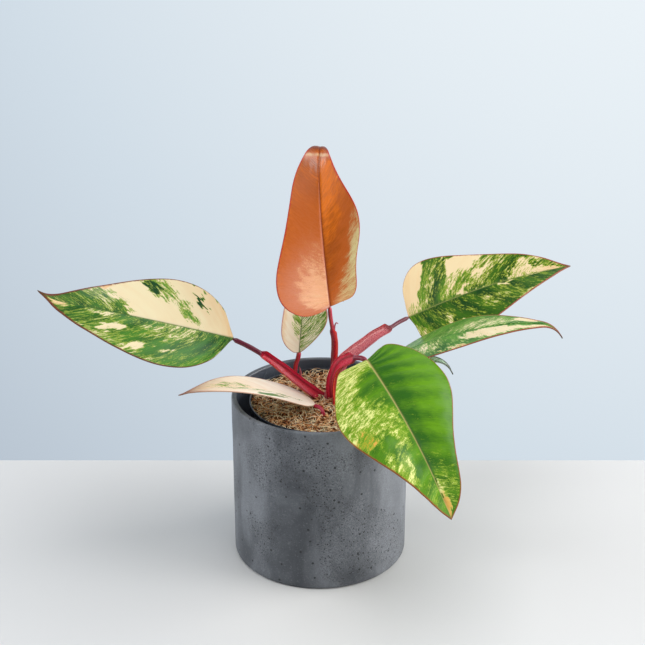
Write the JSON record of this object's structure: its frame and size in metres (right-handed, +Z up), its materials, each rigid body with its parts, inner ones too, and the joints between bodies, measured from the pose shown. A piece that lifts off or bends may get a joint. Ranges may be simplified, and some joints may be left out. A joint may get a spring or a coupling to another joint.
{
  "type": "potted philodendron",
  "caption": "Potted foliage plant: blotched cream and green leaves on red sheathed stalks, in a nursery pot inside a plain round concrete cachepot.",
  "frame": {"origin": "centre of the cachepot's underside, on the surface it stands on", "axes": "+Z up, -Y the front of the plant, +X to the right seen from the front and along the widest spread of the leaves"},
  "size_m": [0.4602, 0.3116, 0.3408],
  "materials": {
    "concrete": "matt dark grey concrete with fine speckle and pinholes",
    "plastic": "dark glossy moulded plastic",
    "coir": "loose brown coir fibre, matt",
    "stalk": "smooth red stalk, satin, with paler sheath rims",
    "leaf_green": "satin leaf, green with cream blotches",
    "leaf_cream": "satin leaf, cream with a few green streaks",
    "leaf_orange": "glossy new leaf, orange to salmon"
  },
  "bodies": {
    "root": {"cachepot": "concrete", "nursery_pot": "plastic", "potting_mix": "coir", "stem": "stalk", "stalk_left": "stalk", "stalk_low": "stalk", "stalk_top": "stalk", "stalk_back": "stalk", "stalk_right": "stalk", "stalk_middle": "stalk", "stalk_front": "stalk", "stalk_small": "stalk", "blade_left": "leaf_green", "blade_low": "leaf_cream", "blade_top": "leaf_orange", "blade_back": "leaf_green", "blade_right": "leaf_green", "blade_middle": "leaf_green", "blade_front": "leaf_green", "blade_small": "leaf_green"}
  },
  "joints": []
}
